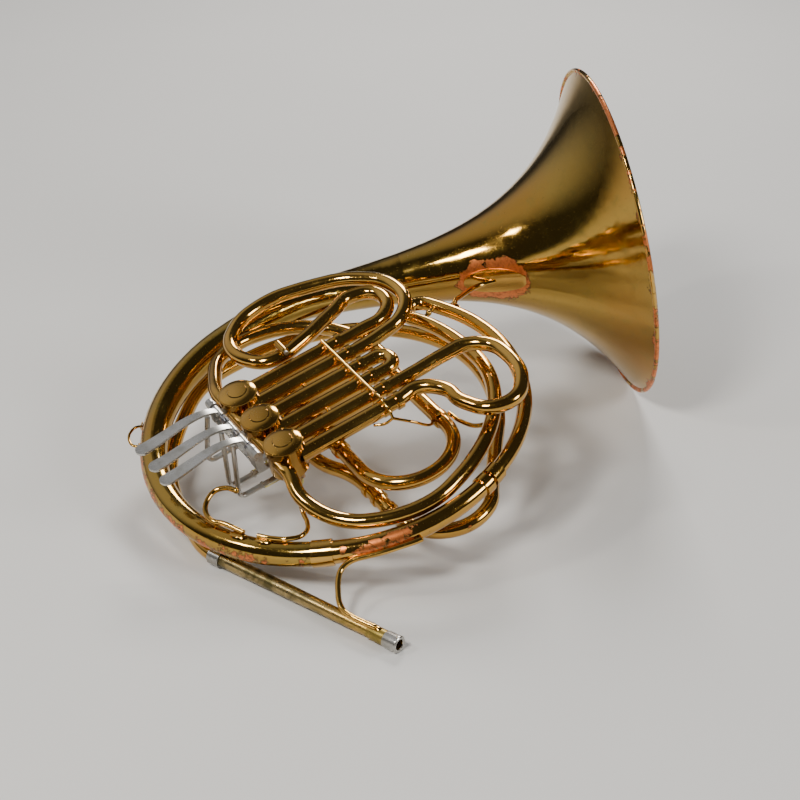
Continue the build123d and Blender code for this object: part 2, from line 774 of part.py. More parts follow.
def make_lever(i):
    key_y = KEY_Y[i]
    side = ARM_SIDE[i]
    string_y = VALVE_Y[i] + side * (HUB_R + STRING_R + 0.1)
    bar_y = string_y + side * BAR_BESIDE_STRING
    key_top = HINGE_Z + HINGE_TUBE_R + 3.2
    neck = KEY_NECK / 2
    palm = KEY_WIDTH / 2
    with BuildPart() as lever:
        # key: outline from above, bent to a gentle arch seen from the side
        with BuildSketch(Plane((HINGE_X, key_y, 0), x_dir=(1, 0, 0), z_dir=(0, 0, 1))):
            with BuildLine():
                near = Line((0, -neck), (0, neck))
                upper = Spline(near @ 1, (-KEY_LENGTH * 0.45, palm * 0.72), (-KEY_LENGTH + palm, palm))
                tip = ThreePointArc(upper @ 1, (-KEY_LENGTH, 0), (-KEY_LENGTH + palm, -palm))
                Spline(tip @ 1, (-KEY_LENGTH * 0.45, -palm * 0.72), near @ 0)
            make_face()
        extrude(amount=HINGE_Z + 20)
        with BuildSketch(Plane((HINGE_X, key_y + KEY_WIDTH, 0), x_dir=(1, 0, 0), z_dir=(0, -1, 0))):
            with BuildLine():
                top = Spline(
                    (2, HINGE_Z + 1.0),
                    (-6, key_top - 0.6),
                    (-KEY_LENGTH * 0.5, key_top + 1.6),
                    (-KEY_LENGTH - 2, key_top - 1.0),
                )
                under = Spline(
                    (2, HINGE_Z + 1.0 - KEY_THICKNESS),
                    (-6, key_top - 0.6 - KEY_THICKNESS),
                    (-KEY_LENGTH * 0.5, key_top + 1.6 - KEY_THICKNESS),
                    (-KEY_LENGTH - 2, key_top - 1.0 - KEY_THICKNESS),
                )
                Line(top @ 0, under @ 0)
                Line(top @ 1, under @ 1)
            make_face()
        extrude(amount=2 * KEY_WIDTH, mode=Mode.INTERSECT)
        # hinge tube
        with BuildSketch(Plane((HINGE_X, key_y - HINGE_TUBE_LENGTH / 2, HINGE_Z), z_dir=(0, 1, 0))):
            Circle(HINGE_TUBE_R)
        extrude(amount=HINGE_TUBE_LENGTH)
        # arm: down from the key and forward beside the string
        arm_top = Vector(HINGE_X - 10, key_y, HINGE_Z + 1.5)
        arm_foot = Vector(HINGE_X - 19, bar_y, ARM_Z + 7)
        arm_end = Vector(VALVE_X + 17, bar_y, ARM_Z)
        with BuildLine() as arm:
            drop = Line(arm_top, arm_foot)
            elbow = Spline(
                drop @ 1,
                (HINGE_X - 17.5, bar_y, ARM_Z + 2),
                (HINGE_X - 12, bar_y, ARM_Z),
                tangents=(drop % 1, (1, 0, 0)),
            )
            Line(elbow @ 1, arm_end)
        with BuildSketch(Plane(arm_top, x_dir=(0, 1, 0), z_dir=drop % 0)):
            RectangleRounded(BAR_WIDTH, BAR_THICKNESS, BAR_CORNER)
        sweep(path=arm.wire())
        # string lugs at both ends of the arm
        for x in (HINGE_X + 3, VALVE_X + 16):
            with BuildSketch(Plane((x, bar_y, ARM_Z), z_dir=(0, -side, 0))):
                Circle(1.6)
            extrude(amount=BAR_BESIDE_STRING - STRING_R - 0.1)
        # the rod's bore
        with BuildSketch(Plane((HINGE_X, key_y - HINGE_TUBE_LENGTH, HINGE_Z), z_dir=(0, 1, 0))):
            Circle(HINGE_ROD_R + SLIDE_CLEARANCE)
        extrude(amount=2 * HINGE_TUBE_LENGTH, mode=Mode.SUBTRACT)
    finish(lever, f"lever_{i + 1}")
    with BuildPart() as string:
        with BuildSketch(Plane((HINGE_X + 3, string_y, ARM_Z), z_dir=(1, 0, 0))):
            Circle(STRING_R)
        extrude(amount=VALVE_X + 13 - HINGE_X)
    finish(string, f"string_{i + 1}")


for valve in range(3):
    make_lever(valve)

# stop arms: hub on the rotor's spindle, with an arm that swings between two corks
HUB_TOP = 2.0
HUB_BOTTOM = -11.0
STOP_ARM_TOP = 5.5
STOP_ARM_LENGTH = 13.0
STOP_ARM_WIDTH = 4.0
HUB_SCREW_R = 3.4
HUB_SCREW_HEIGHT = 1.2
for i, y in enumerate(VALVE_Y):
    with BuildPart() as stop_arm:
        with BuildSketch(Plane((VALVE_X, y, HUB_BOTTOM))):
            Circle(HUB_R)
        extrude(amount=HUB_TOP - HUB_BOTTOM)
        with BuildSketch(Plane((VALVE_X, y, HUB_TOP))):
            Circle(HUB_R)
            with Locations((0, -ARM_SIDE[i] * STOP_ARM_LENGTH / 2)):
                Rectangle(STOP_ARM_WIDTH, STOP_ARM_LENGTH)
        extrude(amount=STOP_ARM_TOP - HUB_TOP)
        with BuildSketch(Plane((VALVE_X, y, SPINDLE_END))):
            Circle(SPINDLE_R)
        extrude(amount=STOP_ARM_TOP - SPINDLE_END, mode=Mode.SUBTRACT)
        with BuildSketch(Plane((VALVE_X, y, HUB_BOTTOM - HUB_SCREW_HEIGHT))):
            Circle(HUB_SCREW_R)
            Rectangle(2 * HUB_SCREW_R + 1, 0.9, mode=Mode.SUBTRACT)
        extrude(amount=HUB_SCREW_HEIGHT)
    finish(stop_arm, f"stop_arm_{i + 1}")

# string wound round each hub, below the straight run of the string
WRAP_TURNS = 3
WRAP_PITCH = 1.3
for i, y in enumerate(VALVE_Y):
    with BuildPart() as string_wrap:
        for turn in range(WRAP_TURNS):
            with Locations((VALVE_X, y, ARM_Z - WRAP_PITCH * (turn + 1.05))):
                Torus(HUB_R + STRING_R + 0.02, STRING_R)
    finish(string_wrap, f"string_wrap_{i + 1}")

# stop plates under the casings, each with two corks
STOP_PLATE_R = 15.5
STOP_PLATE_BOTTOM = 7.2
CORK_R = 2.4
CORK_BOTTOM = 1.4
CORK_GAP = 0.1
CORK_REACH = 10.5
CORK_ASIDE = STOP_ARM_WIDTH / 2 + CORK_R + CORK_GAP
with BuildPart() as stop_plates:
    for y in VALVE_Y:
        with BuildSketch(Plane((VALVE_X, y, STOP_PLATE_BOTTOM))):
            Circle(STOP_PLATE_R)
            Circle(SPINDLE_R + 1.0, mode=Mode.SUBTRACT)
        extrude(amount=CASING_BOTTOM - STOP_PLATE_BOTTOM)
finish(stop_plates, "stop_plates")

with BuildPart() as cork_bumpers:
    for side, y in zip(ARM_SIDE, VALVE_Y):
        for x, along in ((CORK_ASIDE, -side * CORK_REACH), (-CORK_REACH, side * CORK_ASIDE)):
            with BuildSketch(Plane((VALVE_X + x, y + along, CORK_BOTTOM))):
                Circle(CORK_R)
            extrude(amount=STOP_PLATE_BOTTOM - CORK_BOTTOM)
finish(cork_bumpers, "cork_bumpers")

# return springs: a coil beside each hinge tube
SPRING_WIRE_R = 0.5
SPRING_R = 2.9
SPRING_PITCH = 1.15
SPRING_SPANS = ((8.5, 17.7), (-12.9, -6.6), (-31.4, -27.1))
springs = []
for low, high in SPRING_SPANS:
    foot = Vector(HINGE_X, low, HINGE_Z)
    coil = Helix(SPRING_PITCH, high - low, SPRING_R, center=foot, direction=(0, 1, 0))
    with BuildPart() as spring:
        with BuildSketch(Plane(coil @ 0, z_dir=coil % 0)):
            Circle(SPRING_WIRE_R)
        sweep(path=coil, is_frenet=True)
    springs.append(spring)
finish(gather(*springs), "lever_springs")


# ---------------------------------------------------------------- stays, hook and ring
STAY_R = 2.0


def stay(*points, radius=STAY_R):
    """A bent rod through points."""
    return rod(chain(*points), radius)


mouthpipe_brace = stay(
    (-24, -162, -8),
    (-40, -161, -12),
    (-58, -155, -14),
    (-78, -148, -14),
    (-94, -154, -15),
    (-105, -171, -15),
    (-108, -188, -13.5),
    (-104, -205, -13),
    (-97, -220, -13.4),
)
finish(mouthpipe_brace, "mouthpipe_brace")

HOOK_R = 2.2
HOOK_TIP = Vector(-115.7, -42.6, 21.0)
hook_rod = stay(
    (-131, -80, 12.2),
    (-138, -64, 13.5),
    (-146, -49, 14.5),
    (-144, -39, 16.5),
    (-138, -33, 18.5),
    (-129, -30, 20),
    (-121, -34, 21),
    HOOK_TIP,
    radius=HOOK_R,
)
with BuildPart() as hook_ball:
    with Locations(HOOK_TIP):
        Sphere(HOOK_R + 0.5)
with BuildPart() as pinky_hook:
    add(hook_rod.part)
    add(hook_ball.part)
finish(pinky_hook, "pinky_hook")

RING_BRACE_R = 1.8
RING_BRACE_BALL_R = 2.8
RING_BRACE_START = 134.0
RING_BRACE_LENGTH = 15.0
RING_BRACE_Z = 4.0
ring_brace_angle = RING_TOP_ANGLE - 4.0
with BuildPart() as ring_brace:
    ring_brace_foot = polar(ring_brace_angle, RING_BRACE_START, RING_BRACE_Z)
    with BuildSketch(Plane(ring_brace_foot, z_dir=polar(ring_brace_angle, 1.0))):
        Circle(RING_BRACE_R)
    extrude(amount=RING_BRACE_LENGTH)
    with Locations(polar(ring_brace_angle, RING_TOP_MIDDLE_R, RING_BRACE_Z)):
        Sphere(RING_BRACE_BALL_R)
coil_braces = gather(
    stay(
        (-124, -91, 12.5),
        (-116, -102, 12.5),
        (-106, -111, 12),
        (-97, -113, 10),
        (-89, -109, 8),
        (-84, -100, 7),
        (-82, -91, 8),
        (-79, -82, 12),
    ),
    stay((79.3, -56, -9), (80.6, -74, -7), (87, -91, -4), (96, -98, 0), (106, -97, 4)),
    ring_brace,
)
finish(coil_braces, "coil_braces")

# bell brace: an oval plate on the side of the bell and a post to the outer ring
BELL_BRACE_BACK = 120.0
BELL_BRACE_SIDE = Vector(-0.327, -0.935, 0.139)
FLANGE_LENGTH = 56.0
FLANGE_WIDTH = 25.0
FLANGE_THICKNESS = 1.3
bell_side_out = (BELL_BRACE_SIDE - BELL_AXIS * BELL_BRACE_SIDE.dot(BELL_AXIS)).normalized()


def bell_side(back, proud):
    """A point beside the bell, a distance back from the rim and proud of its surface."""
    return RIM - BELL_AXIS * back + bell_side_out * (bell_radius(back) + proud)


flange_stations = [BELL_BRACE_BACK + FLANGE_LENGTH * (i / 8 - 0.5) * 1.1 for i in range(9)]
with BuildPart() as bell_flange:
    with BuildSketch(BELL_PROFILE_PLANE):
        with BuildLine():
            crest = Spline(*[bell_skin(back, -FLANGE_THICKNESS) for back in flange_stations])
            seat = Spline(*[bell_skin(back, -0.02) for back in flange_stations])
            Line(crest @ 0, seat @ 0)
            Line(crest @ 1, seat @ 1)
        make_face()
    revolve(axis=Axis(RIM, BELL_AXIS))
    with BuildSketch(Plane(bell_side(BELL_BRACE_BACK, 12.0), x_dir=BELL_AXIS, z_dir=-bell_side_out)):
        Ellipse(FLANGE_LENGTH / 2, FLANGE_WIDTH / 2)
    extrude(amount=40.0, mode=Mode.INTERSECT)
bell_post = stay(
    (155.5, 48, 0),
    (161, 57, -3),
    (171, 68, -11),
    bell_side(BELL_BRACE_BACK + 10.0, 5.0),
    bell_side(BELL_BRACE_BACK, 0.8),
    radius=2.4,
)
finish(gather(bell_flange, bell_post), "bell_brace")

# slide braces: a bar over the mouths of the valve slides, its fork, and posts between sleeves
END_BAR_R = 1.3
END_BAR_X = 26.5
END_BAR_Z = VALVE_Z + BAND_R + END_BAR_R - 0.2
FORK = Vector(END_BAR_X, -60.0, 22.0)
MID_POST_X = -10.0
MID_POST_R = 1.8
POST_BITE = 0.1
end_bar = stay(
    (END_BAR_X, leg_y(0, 1) + 2, END_BAR_Z),
    (END_BAR_X, leg_y(1, 1), END_BAR_Z),
    (END_BAR_X, leg_y(2, 1), END_BAR_Z),
    (END_BAR_X, leg_y(2, -1) - 2, END_BAR_Z),
    (END_BAR_X, leg_y(2, -1) - 9.5, END_BAR_Z - 4),
    FORK,
    radius=END_BAR_R,
)
fork_near = stay(FORK, (20, -57, 18), (12, -51, 17), radius=END_BAR_R)
fork_far = stay(FORK, (38, -67, 16), (54, -68, 2), (62.8, -57, -6.4), radius=END_BAR_R)
mid_posts = []
for upper, lower in ((leg_y(0, -1), leg_y(1, 1)), (leg_y(1, -1), leg_y(2, 1))):
    with BuildPart() as mid_post:
        with BuildSketch(Plane((MID_POST_X, lower + SLEEVE_R - POST_BITE, VALVE_Z), z_dir=(0, 1, 0))):
            Circle(MID_POST_R)
        extrude(amount=upper - lower - 2 * (SLEEVE_R - POST_BITE))
    mid_posts.append(mid_post)
finish(gather(end_bar, fork_near, fork_far, *mid_posts), "slide_braces")

# strap ring: a wire loop on the outside of the bell tail
STRAP_RING_R = 1.2
strap_ring = stay(
    polar(143, 171, 4),
    polar(144, 177, 5),
    polar(146, 180, 5.5),
    polar(149, 180, 5.5),
    polar(151, 177, 5),
    polar(152, 170.5, 4),
    radius=STRAP_RING_R,
)
finish(strap_ring, "strap_ring")

# water key on the first valve's crook: a barrel across the tube with a spring button
WATER_KEY = Vector(-6.0, 69.0, 28.0 + TUBE_R + 2.4)
BARREL_R = 3.4
BARREL_LENGTH = 15.0
BUTTON_R = 1.9
BUTTON_LENGTH = 9.0
BUTTON_PROUD = 3.0
with BuildPart() as water_key_barrel:
    with BuildSketch(Plane(WATER_KEY, z_dir=(0, -1, 0))):
        Circle(BARREL_R)
    extrude(amount=BARREL_LENGTH / 2, both=True)
    chamfer(water_key_barrel.edges(), 0.5)
    with BuildSketch(Plane(WATER_KEY + Vector(0, -BARREL_LENGTH / 2, 0), z_dir=(0, 1, 0))):
        Circle(BUTTON_R + SLIDE_CLEARANCE)
    extrude(amount=BUTTON_LENGTH, mode=Mode.SUBTRACT)
finish(water_key_barrel, "water_key_barrel")

with BuildPart() as water_key_button:
    with BuildSketch(Plane(WATER_KEY + Vector(0, -BARREL_LENGTH / 2 - BUTTON_PROUD, 0), z_dir=(0, 1, 0))):
        Circle(BUTTON_R)
    extrude(amount=BUTTON_LENGTH)
    chamfer(water_key_button.edges().sort_by(Axis.Y)[0], 0.4)
finish(water_key_button, "water_key_button")


# ---------------------------------------------------------------- onto the table
table_plane = Plane((0, 0, 0), x_dir=SLIDE_AXIS_ON_TABLE, z_dir=COIL_NORMAL_ON_TABLE)
turned = Compound(children=[piece.moved(table_plane.location) for piece in FINISHED])
footprint = turned.bounding_box()
lay_down = Location((-footprint.center().X, -footprint.center().Y, -footprint.min.Z)) * table_plane.location

for piece in FINISHED:
    placed = piece.moved(lay_down)
    placed.label = piece.label
    export_step(placed, f"parts/{piece.label}.step")
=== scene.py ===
"""Looks of a french horn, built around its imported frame.

The shapes of the tubes, valves and levers come from the frame.  This script gives every piece its
material, adds the small fittings (saddles, screws, cords), draws the mouthpipe's brace and receiver
again in finer detail, and sets the floor, light and camera.  Places are given in the coil's own axes,
in millimetres, and turned into the frame's metres by at().
"""
import json
import math

import bmesh
import bpy
from mathutils import Matrix, Vector


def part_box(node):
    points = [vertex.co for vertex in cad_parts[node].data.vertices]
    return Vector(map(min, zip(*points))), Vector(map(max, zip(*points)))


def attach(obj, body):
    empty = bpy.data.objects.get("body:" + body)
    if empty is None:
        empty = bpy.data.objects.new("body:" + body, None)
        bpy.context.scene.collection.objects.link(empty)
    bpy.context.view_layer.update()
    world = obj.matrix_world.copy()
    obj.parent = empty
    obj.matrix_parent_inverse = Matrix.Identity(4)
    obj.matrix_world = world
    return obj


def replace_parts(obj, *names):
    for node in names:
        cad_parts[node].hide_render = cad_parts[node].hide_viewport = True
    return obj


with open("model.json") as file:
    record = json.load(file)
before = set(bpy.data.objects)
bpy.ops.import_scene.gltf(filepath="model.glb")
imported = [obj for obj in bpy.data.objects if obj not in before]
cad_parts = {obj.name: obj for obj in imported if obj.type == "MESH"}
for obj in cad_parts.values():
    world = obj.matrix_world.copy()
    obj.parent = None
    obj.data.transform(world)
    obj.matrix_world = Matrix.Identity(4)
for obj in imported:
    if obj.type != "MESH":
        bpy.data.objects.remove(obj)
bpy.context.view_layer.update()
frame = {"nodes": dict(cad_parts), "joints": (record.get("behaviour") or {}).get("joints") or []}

MM = 0.001

# ---------------------------------------------------------------- the coil's axes in the frame
JOINTS = {joint["name"]: joint for joint in frame["joints"]}
FIRST_VALVE = Vector((-63.5, 43.9, 20.0))
ALONG_SLIDES = Vector(JOINTS["valve_slide_1"]["axis"]).normalized()
OUT_OF_COIL = Vector(JOINTS["valve_1"]["axis"]).normalized()
ALONG_VALVES = OUT_OF_COIL.cross(ALONG_SLIDES)
COIL = Matrix((ALONG_SLIDES, ALONG_VALVES, OUT_OF_COIL)).transposed()
COIL_CENTRE = Vector(JOINTS["valve_1"]["pos_m"]) - COIL @ (FIRST_VALVE * MM)


def at(x, y, z):
    """A point of the coil, in millimetres, as a point of the frame."""
    return COIL_CENTRE + COIL @ (Vector((x, y, z)) * MM)


def way(x, y, z):
    """A direction of the coil as a direction of the frame."""
    return (COIL @ Vector((x, y, z))).normalized()


def polar(angle, radius, z):
    """A point of the coil by angle in degrees, radius and height, in millimetres."""
    return at(radius * math.cos(math.radians(angle)), radius * math.sin(math.radians(angle)), z)


VALVE_Y = (43.9, 3.9, -36.1)
VALVE_X = -63.5
STRING_SIDE = (-1, -1, 1)
RECEIVER_MOUTH = at(-85.5, -236.0, -20.0)
RECEIVER_WAY = (at(-152.2, -58.0, -20.0) - RECEIVER_MOUTH).normalized()
BELL_AXIS = way(0.9395, -0.3372, -0.0597)
RIM_LOW, RIM_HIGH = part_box("rim_bead")
RIM_CENTRE = (RIM_LOW + RIM_HIGH) / 2
FLANGE_BACK = 0.120
FLANGE_OUT = way(-0.324, -0.936, 0.138)
FLANGE_RADIUS = 0.0427
FLANGE_CENTRE = RIM_CENTRE - BELL_AXIS * FLANGE_BACK + FLANGE_OUT * FLANGE_RADIUS


# ---------------------------------------------------------------- node helpers
class Shader:
    """A material under construction: short calls that add and join nodes."""

    def __init__(self, name):
        self.material = bpy.data.materials.new(name)
        self.material.use_nodes = True
        self.tree = self.material.node_tree
        self.surface = self.tree.nodes["Principled BSDF"]
        self.place = self.tree.nodes.new("ShaderNodeTexCoord").outputs["Object"]

    def node(self, kind, inputs=None, output=0, **settings):
        node = self.tree.nodes.new(kind)
        for key, value in settings.items():
            setattr(node, key, value)
        for key, value in (inputs or {}).items():
            self.feed(node.inputs[key], value)
        return node.outputs[output]

    def feed(self, socket, value):
        if isinstance(value, bpy.types.NodeSocket):
            self.tree.links.new(value, socket)
        else:
            socket.default_value = value

    def set(self, **inputs):
        names = {
            "color": "Base Color", "metallic": "Metallic", "roughness": "Roughness",
            "normal": "Normal", "coat": "Coat Weight", "coat_roughness": "Coat Roughness",
            "coat_tint": "Coat Tint", "sheen": "Sheen Weight",
        }
        for key, value in inputs.items():
            self.feed(self.surface.inputs[names[key]], value)

    def math(self, operation, a, b=0.0, clamp=False):
        return self.node("ShaderNodeMath", {0: a, 1: b}, operation=operation, use_clamp=clamp)

    def noise(self, scale, detail=4.0, roughness=0.6, stretch=None, distortion=0.0):
        place = self.place
        if stretch:
            place = self.node("ShaderNodeMapping", {"Vector": place, "Scale": stretch})
        values = {"Vector": place, "Scale": scale, "Detail": detail, "Roughness": roughness}
        values["Distortion"] = distortion
        return self.node("ShaderNodeTexNoise", values)

    def step(self, value, low, high, start=0.0, end=1.0):
        """Value taken from low..high to start..end, smoothly, and held beyond."""
        inputs = {"Value": value, "From Min": low, "From Max": high, "To Min": start, "To Max": end}
        return self.node("ShaderNodeMapRange", inputs, interpolation_type="SMOOTHSTEP")

    def mix(self, share, a, b):
        node = self.tree.nodes.new("ShaderNodeMix")
        node.data_type = "RGBA"
        self.feed(node.inputs["Factor"], share)
        self.feed(node.inputs[6], a)
        self.feed(node.inputs[7], b)
        return node.outputs[2]

    def blend(self, share, a, b):
        node = self.tree.nodes.new("ShaderNodeMix")
        self.feed(node.inputs[0], share)
        self.feed(node.inputs[2], a)
        self.feed(node.inputs[3], b)
        return node.outputs[0]

    def bump(self, height, strength, distance=0.0002, normal=None):
        inputs = {"Height": height, "Strength": strength, "Distance": distance}
        if normal:
            inputs["Normal"] = normal
        return self.node("ShaderNodeBump", inputs)

    def dot(self, direction, origin):
        """Distance along a direction of the frame from an origin, in metres."""
        moved = self.node(
            "ShaderNodeVectorMath", {0: self.place, 1: tuple(origin)}, operation="SUBTRACT"
        )
        return self.node(
            "ShaderNodeVectorMath", {0: moved, 1: tuple(direction)}, output=1, operation="DOT_PRODUCT"
        )

    def distance(self, point):
        return self.node(
            "ShaderNodeVectorMath", {0: self.place, 1: tuple(point)}, output=1, operation="DISTANCE"
        )

    def coil_radius_and_angle(self):
        """Radius in the coil's plane, in millimetres, and angle about its centre, 0 to 360 degrees."""
        x = self.dot(ALONG_SLIDES, COIL_CENTRE)
        y = self.dot(ALONG_VALVES, COIL_CENTRE)
        square = self.math("ADD", self.math("MULTIPLY", x, x), self.math("MULTIPLY", y, y))
        radius = self.math("MULTIPLY", self.math("SQRT", square), 1 / MM)
        angle = self.math("MULTIPLY", self.math("ARCTAN2", self.math("MULTIPLY", y, -1.0),
                                                self.math("MULTIPLY", x, -1.0)), 180 / math.pi)
        return radius, self.math("ADD", angle, 180.0)

    def window(self, value, low, high, soft):
        """1 between low and high, falling to 0 over soft on both sides."""
        rise = self.step(value, low - soft, low + soft)
        fall = self.step(value, high - soft, high + soft, 1.0, 0.0)
        return self.math("MULTIPLY", rise, fall)


# ---------------------------------------------------------------- materials
GOLD = (0.66, 0.40, 0.095, 1)
DEEP_GOLD = (0.46, 0.25, 0.045, 1)
OLIVE_GOLD = (0.34, 0.25, 0.055, 1)
BELL_GOLD = (0.44, 0.29, 0.062, 1)
COPPER = (0.80, 0.25, 0.075, 1)
DULL_COPPER = (0.50, 0.15, 0.05, 1)
TARNISH = (0.07, 0.042, 0.018, 1)


def polished_brass(shader, deep=0.5, gold=GOLD):
    """Lacquered brass: colour, roughness and bump before any wear."""
    broad = shader.noise(9.0, 3.0, 0.55)
    cloud = shader.noise(55.0, 5.0, 0.65, distortion=0.4)
    color = shader.mix(shader.step(broad, 0.35, 0.7), gold, DEEP_GOLD)
    color = shader.mix(shader.math("MULTIPLY", shader.step(cloud, 0.5, 0.8), deep), color, OLIVE_GOLD)
    specks = shader.step(shader.noise(700.0, 2.0, 0.5), 0.67, 0.74)
    color = shader.mix(shader.math("MULTIPLY", specks, 0.55), color, TARNISH)
    scratches = shader.noise(900.0, 3.0, 0.7, stretch=(1.0, 0.12, 0.5))
    rough = shader.step(cloud, 0.35, 0.8, 0.07, 0.17)
    rough = shader.math("ADD", rough, shader.step(scratches, 0.55, 0.8, 0.0, 0.16))
    rough = shader.math("ADD", rough, shader.math("MULTIPLY", specks, 0.25))
    dents = shader.bump(shader.noise(38.0, 2.0, 0.5), 0.16, 0.0009)
    normal = shader.bump(scratches, 0.05, 0.00005, dents)
    return color, rough, normal


def wear(shader, mask, color, rough, normal):
    """Lacquer gone inside the mask: copper-coloured bare metal with a ragged dark edge."""
    ragged = shader.noise(170.0, 6.0, 0.7, distortion=0.8)
    patches = shader.noise(70.0, 3.0, 0.6)
    ragged = shader.blend(0.6, ragged, patches)
    raggedness = shader.math("MULTIPLY", shader.math("SUBTRACT", ragged, 0.5), 3.2)
    level = shader.math("ADD", mask, raggedness)
    bare = shader.step(level, 0.52, 0.60)
    edge_start = shader.step(level, 0.44, 0.54)
    edge = shader.math("MULTIPLY", edge_start, shader.step(level, 0.56, 0.66, 1.0, 0.0))
    blotch = shader.noise(260.0, 5.0, 0.7)
    copper = shader.mix(shader.step(blotch, 0.4, 0.66), COPPER, DULL_COPPER)
    color = shader.mix(bare, color, copper)
    color = shader.mix(shader.math("MULTIPLY", edge, 0.75), color, TARNISH)
    rough = shader.blend(bare, rough, shader.step(blotch, 0.3, 0.8, 0.34, 0.5))
    normal = shader.bump(shader.math("MULTIPLY", bare, -1.0), 0.5, 0.00012, normal)
    return color, rough, normal


def finish_brass(shader, color, rough, normal, coat=0.35):
    """Puts colour, roughness and bump on the surface, under a thin yellow lacquer."""
    shader.set(color=color, roughness=rough, normal=normal, metallic=1.0, coat=coat, coat_roughness=0.06)
    shader.set(coat_tint=(1.0, 0.86, 0.55, 1))
    return shader.material


def make_tube_brass():
    """Inner tubes: polished lacquer with a few small worn places."""
    shader = Shader("tube_brass")
    color, rough, normal = polished_brass(shader)
    scattered = shader.step(shader.noise(14.0, 2.0, 0.5), 0.62, 0.74, -0.15, 0.42)
    return finish_brass(shader, *wear(shader, scattered, color, rough, normal))


# where hands have worn the coil: angles about its centre in degrees, radii in millimetres
SIDE_WEAR_RADII = (163.0, 170.5)
SIDE_WEAR_SOFT = 9.0
FOOT_WEAR_ANGLES = (242.0, 263.0)
FOOT_WEAR_RADII = (157.0, 165.0)
FOOT_WEAR_SOFT = 4.0
WEAR_THRESHOLD = 0.10
HALO_STRETCH = 1.35


def make_coil_brass():
    """The tail of the bell, the first branch and the outer ring: worn where the horn is held."""
    shader = Shader("coil_brass")
    color, rough, normal = polished_brass(shader)
    radius, angle = shader.coil_radius_and_angle()
    side_angles = shader.window(angle, 138.0, 236.0, SIDE_WEAR_SOFT)
    side = shader.math("MULTIPLY", side_angles, shader.step(radius, *SIDE_WEAR_RADII))
    foot_angles = shader.window(angle, *FOOT_WEAR_ANGLES, FOOT_WEAR_SOFT)
    foot = shader.math("MULTIPLY", foot_angles, shader.step(radius, *FOOT_WEAR_RADII))
    mask = shader.math("MAXIMUM", shader.math("MULTIPLY", side, 0.76), shader.math("MULTIPLY", foot, 0.80))
    mask = shader.math("SUBTRACT", mask, WEAR_THRESHOLD)
    return finish_brass(shader, *wear(shader, mask, color, rough, normal))


def make_bell_brass():
    """The bell: worn round its brace plate, along the rim and on the outside of its tail."""
    shader = Shader("bell_brass")
    color, rough, normal = polished_brass(shader, 0.9, BELL_GOLD)
    radius, angle = shader.coil_radius_and_angle()
    tail = shader.step(shader.dot(BELL_AXIS, RIM_CENTRE), -0.26, -0.22, 1.0, 0.0)
    side_angles = shader.window(angle, 138.0, 238.0, SIDE_WEAR_SOFT)
    side = shader.math("MULTIPLY", side_angles, shader.step(radius, *SIDE_WEAR_RADII))
    side = shader.math("MULTIPLY", side, shader.math("MULTIPLY", tail, 0.74))
    along = shader.math("DIVIDE", shader.dot(BELL_AXIS, FLANGE_CENTRE), HALO_STRETCH)
    away = shader.distance(FLANGE_CENTRE)
    away_square = shader.math("MULTIPLY", away, away)
    across = shader.math("SUBTRACT", away_square, shader.math("MULTIPLY", along, along))
    halo = shader.step(shader.math("SQRT", shader.math("ABSOLUTE", across)), 0.016, 0.034, 1.0, 0.0)
    halo = shader.math("MULTIPLY", halo, shader.window(along, -0.034, 0.030, 0.006))
    rim = shader.step(shader.dot(BELL_AXIS, RIM_CENTRE), -0.006, 0.0)
    mask = shader.math("MAXIMUM", shader.math("MAXIMUM", side, halo), shader.math("MULTIPLY", rim, 0.55))
    mask = shader.math("SUBTRACT", mask, WEAR_THRESHOLD)
    return finish_brass(shader, *wear(shader, mask, color, rough, normal), coat=0.25)


def make_rim_brass():
    """The rolled rim: mostly bare, with lacquer left in streaks."""
    shader = Shader("rim_brass")
    color, rough, normal = polished_brass(shader)
    streaks = shader.step(shader.noise(26.0, 4.0, 0.6), 0.35, 0.6, 0.2, 0.8)
    return finish_brass(shader, *wear(shader, streaks, color, rough, normal), coat=0.15)


def make_cap_brass():
    """Valve caps, casings and bands: turned brass with rings left by the lathe."""
    shader = Shader("turned_brass")
    color, rough, normal = polished_brass(shader, 0.3)
    rings = shader.noise(1500.0, 1.0, 0.4, stretch=(0.3, 0.3, 1.0))
    rough = shader.math("ADD", rough, 0.03)
    return finish_brass(shader, color, rough, shader.bump(rings, 0.04, 0.00004, normal))


def make_bare_brass():
    """Machined brass without lacquer, browned by oil."""
    shader = Shader("bare_brass")
    cloud = shader.noise(120.0, 5.0, 0.65)
    color = shader.mix(shader.step(cloud, 0.35, 0.75), (0.66, 0.46, 0.2, 1), (0.34, 0.22, 0.09, 1))
    rings = shader.noise(1400.0, 1.0, 0.5, stretch=(1.0, 1.0, 0.2))
    shader.set(color=color, metallic=1.0, roughness=shader.step(cloud, 0.3, 0.8, 0.25, 0.5))
    shader.set(normal=shader.bump(rings, 0.1, 0.0001))
    return shader.material


